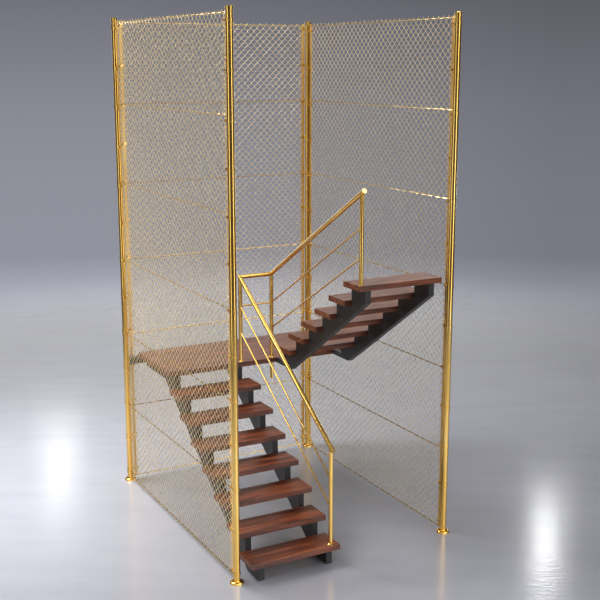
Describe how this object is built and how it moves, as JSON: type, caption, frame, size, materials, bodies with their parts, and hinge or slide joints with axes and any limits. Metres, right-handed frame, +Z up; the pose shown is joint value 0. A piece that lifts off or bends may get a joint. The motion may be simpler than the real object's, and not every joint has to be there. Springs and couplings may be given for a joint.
{
  "type": "half-turn industrial metal staircase in a wire-fenced cage",
  "caption": "Half-turn staircase with timber treads on saw-tooth steel stringers, a landing, brass tube railing, and a tall chain-link fence cage open at the front.",
  "frame": {"origin": "middle of the footprint, on the floor", "axes": "+Z up, +X to the right as seen from the open front, +Y towards the landing at the back"},
  "size_m": [2.324, 2.8768, 4.88],
  "materials": {
    "timber": "dark red-brown timber with a satin lacquer",
    "dark_steel": "charcoal satin paint on steel",
    "polished_brass": "polished golden brass",
    "brass_wire": "pale golden drawn wire"
  },
  "bodies": {
    "root": {"cage_post_back_left": "polished_brass", "cage_post_back_right": "polished_brass", "cage_post_front_left": "polished_brass", "cage_post_front_right": "polished_brass", "fence_fabric_back": "brass_wire", "fence_fabric_left": "brass_wire", "fence_fabric_right": "brass_wire", "handrail_landing": "polished_brass", "handrail_lower": "polished_brass", "handrail_upper": "polished_brass", "landing": "timber", "landing_bearer": "dark_steel", "line_wires_back": "brass_wire", "line_wires_left": "brass_wire", "line_wires_right": "brass_wire", "lower_stringer_left": "dark_steel", "lower_stringer_right": "dark_steel", "lower_tread_1": "timber", "lower_tread_2": "timber", "lower_tread_3": "timber", "lower_tread_4": "timber", "lower_tread_5": "timber", "lower_tread_6": "timber", "lower_tread_7": "timber", "mid_rail_landing": "polished_brass", "mid_rails_lower": "polished_brass", "mid_rails_upper": "polished_brass", "post_caps": "polished_brass", "post_flanges": "polished_brass", "rail_post_first": "polished_brass", "rail_post_flanges": "polished_brass", "rail_post_landing_left": "polished_brass", "rail_post_landing_right": "polished_brass", "rail_post_last": "polished_brass", "tension_bands_back": "polished_brass", "tension_bands_left": "polished_brass", "tension_bands_right": "polished_brass", "tension_bars_back": "polished_brass", "tension_bars_left": "polished_brass", "tension_bars_right": "polished_brass", "upper_stringer_left": "dark_steel", "upper_stringer_right": "dark_steel", "upper_tread_1": "timber", "upper_tread_2": "timber", "upper_tread_3": "timber", "upper_tread_4": "timber", "upper_tread_5": "timber", "upper_tread_6": "timber"}
  },
  "joints": []
}
